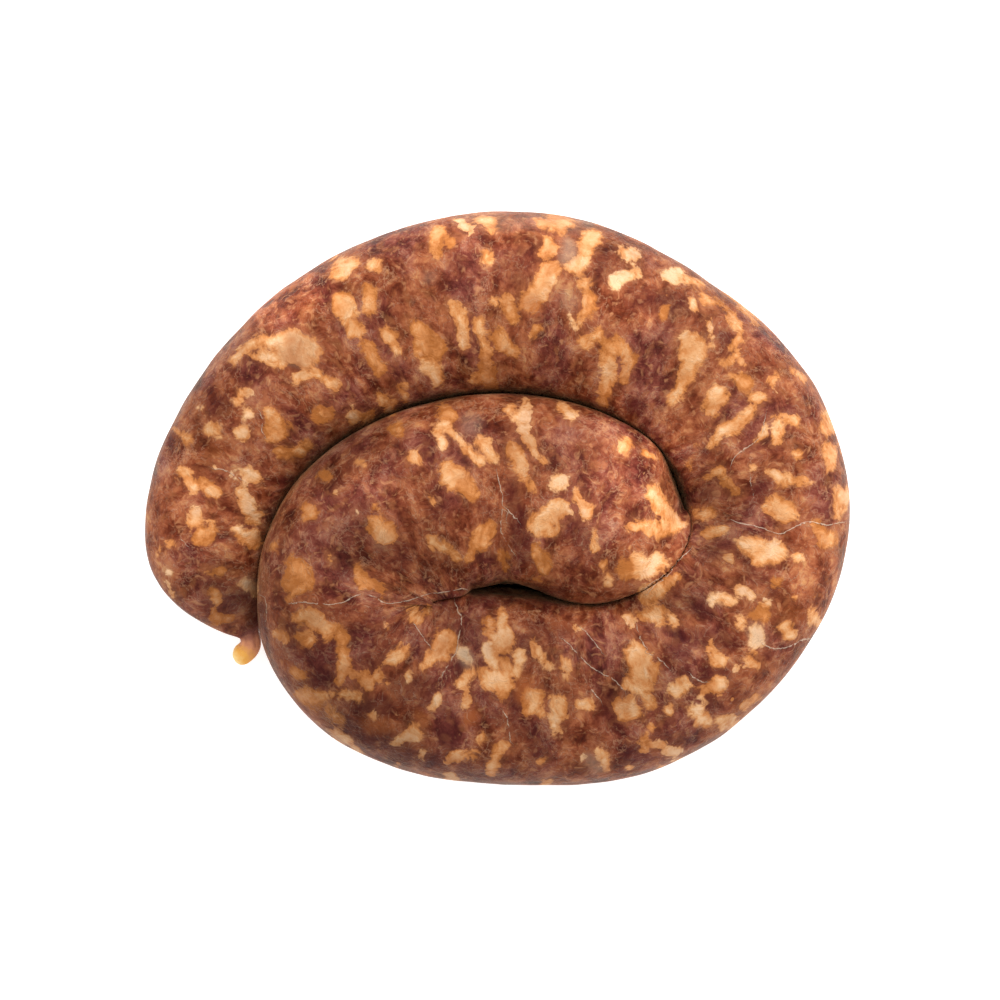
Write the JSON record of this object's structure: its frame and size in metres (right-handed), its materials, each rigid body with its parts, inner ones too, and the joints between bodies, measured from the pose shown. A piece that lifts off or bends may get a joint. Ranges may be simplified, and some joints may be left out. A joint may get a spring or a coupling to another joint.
{
  "type": "coiled sausage",
  "caption": "Thick, coarsely minced sausage in a natural casing, laid flat in a spiral, its outer end drawn into a short tail of casing and its inner end tucked into the middle",
  "frame": {"origin": "Middle of the coil's outline seen from above, on the surface it lies on", "axes": "+X along the coil's longest extent, to the right in the picture; +Y up in the picture; +Z up, away from the surface the coil lies on"},
  "size_m": [0.1694, 0.1376, 0.0418],
  "materials": {
    "minced_meat_in_casing": "semi-matte moist natural casing over red-brown coarse mince with cream fat"
  },
  "bodies": {
    "root": {"sausage": "minced_meat_in_casing"}
  },
  "joints": []
}
